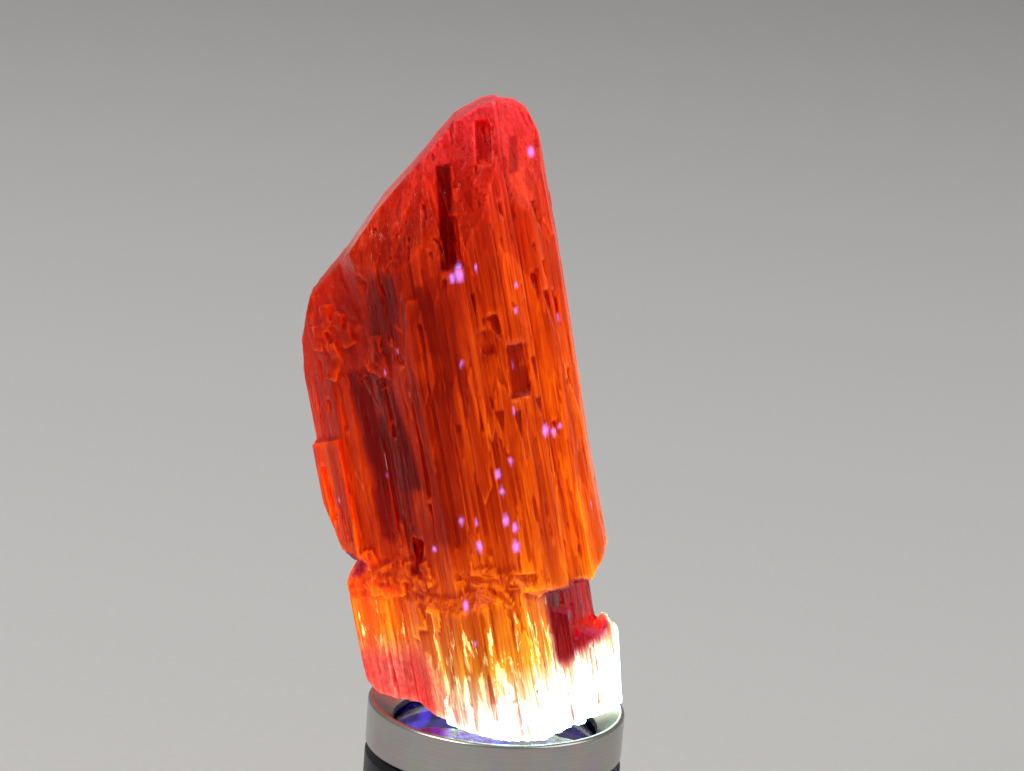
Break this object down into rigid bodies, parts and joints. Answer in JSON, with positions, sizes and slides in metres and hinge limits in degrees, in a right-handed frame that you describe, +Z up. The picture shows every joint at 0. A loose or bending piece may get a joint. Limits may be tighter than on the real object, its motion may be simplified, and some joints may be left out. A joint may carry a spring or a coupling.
{
  "type": "kunzite crystal on an ultraviolet lamp",
  "caption": "Leaning kunzite crystal with striated prism faces and a slanting tip, glowing orange on the rim of a short round ultraviolet lamp that stands on a flat foot.",
  "frame": {"origin": "centre of the lamp's flat foot, on the surface that it stands on", "axes": "+Z up along the lamp's axis, -Y towards the side that the crystal's striated front shows, and the crystal leans towards -X"},
  "size_m": [0.0341, 0.0254, 0.0983],
  "materials": {
    "kunzite": "natural crystal faces, glossy and partly etched, glowing orange",
    "bezel_steel": "turned stainless steel",
    "filter_glass": "polished dark violet filter glass",
    "reflector_aluminium": "vacuum coated, mirror bright",
    "emitter_ceramic": "fired ceramic with a clear dome",
    "board_aluminium": "white solder mask on aluminium",
    "anodised_black": "black anodised, fine turned"
  },
  "bodies": {
    "root": {"kunzite_crystal": "kunzite", "bezel_ring": "bezel_steel", "filter_glass": "filter_glass", "reflector": "reflector_aluminium", "led_emitter": "emitter_ceramic", "led_board": "board_aluminium", "lamp_head": "anodised_black"}
  },
  "joints": []
}
